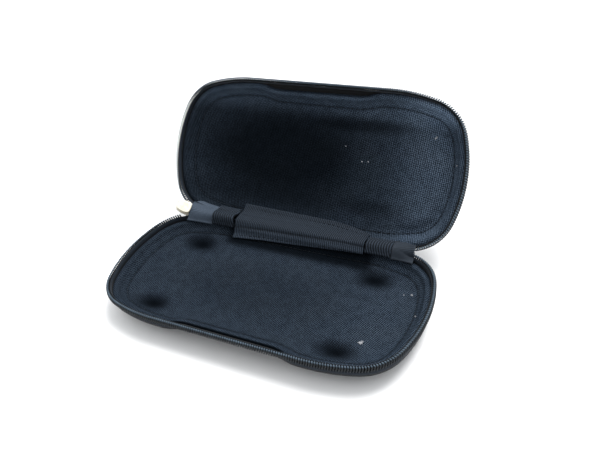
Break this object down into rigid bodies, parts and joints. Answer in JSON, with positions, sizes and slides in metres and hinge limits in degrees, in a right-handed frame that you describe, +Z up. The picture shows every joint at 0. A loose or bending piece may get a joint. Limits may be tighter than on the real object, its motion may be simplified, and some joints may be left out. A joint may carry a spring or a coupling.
{
  "type": "headphone carrying case",
  "caption": "Open clamshell headphone case of two moulded trays with a cloth hinge, a coil zipper and a slider.",
  "frame": {"origin": "on the surface the case stands on, under the middle of the base tray", "axes": "+X along the length of the case, -Y towards the front that opens, +Z up"},
  "size_m": [0.182, 0.1415, 0.0815],
  "materials": {
    "cover_cloth": "matte",
    "eva_foam": "matte",
    "lining_knit": "matte",
    "zipper_tape": "matte",
    "zipper_coil": "satin",
    "grosgrain": "satin",
    "thread": "satin",
    "slider_enamel": "satin",
    "spring_steel": "satin"
  },
  "bodies": {
    "base": {"base_cover": "cover_cloth", "base_shell": "eva_foam", "base_lining": "lining_knit", "base_rim_seam": "thread", "base_zipper_tape": "zipper_tape", "base_zipper_coil": "zipper_coil", "base_ribbon_thread": "thread", "hinge_inner_ribbon": "grosgrain", "hinge_outer_fabric": "cover_cloth", "left_tape_tail": "zipper_tape", "left_tail_binding": "grosgrain", "right_tail_binding": "grosgrain", "right_tape_tail": "zipper_tape"},
    "lid": {"lid_cover": "cover_cloth", "lid_shell": "eva_foam", "lid_lining": "lining_knit", "lid_rim_seam": "thread", "lid_zipper_tape": "zipper_tape", "lid_zipper_coil": "zipper_coil", "lid_ribbon_thread": "thread"},
    "slider": {"slider_body": "slider_enamel", "slider_bonnet": "slider_enamel", "slider_lock_spring": "spring_steel"},
    "pull": {"pull_tab": "slider_enamel"}
  },
  "joints": [
    {"name": "lid_hinge", "type": "hinge", "parent": "base", "child": "lid", "pos_m": [0, 0.0402, 0.0166], "axis": [-1, 0, 0], "range_deg": [-128.7, 11.3], "deforming": ["hinge_inner_ribbon", "hinge_outer_fabric", "left_tape_tail", "left_tail_binding", "right_tail_binding", "right_tape_tail"]},
    {"name": "slider_tilt", "type": "hinge", "parent": "base", "child": "slider", "pos_m": [0, 0.0402, 0.0166], "axis": [-1, 0, 0], "range_deg": [-64.35, 5.65]},
    {"name": "pull_swing", "type": "hinge", "parent": "slider", "child": "pull", "pos_m": [-0.07756, 0.03983, 0.01736], "axis": [0, -0.9015, -0.4329], "range_deg": [-60, 25]}
  ],
  "couplings": [
    {"joint": "slider_tilt", "follows": "lid_hinge", "ratio": 0.5}
  ]
}
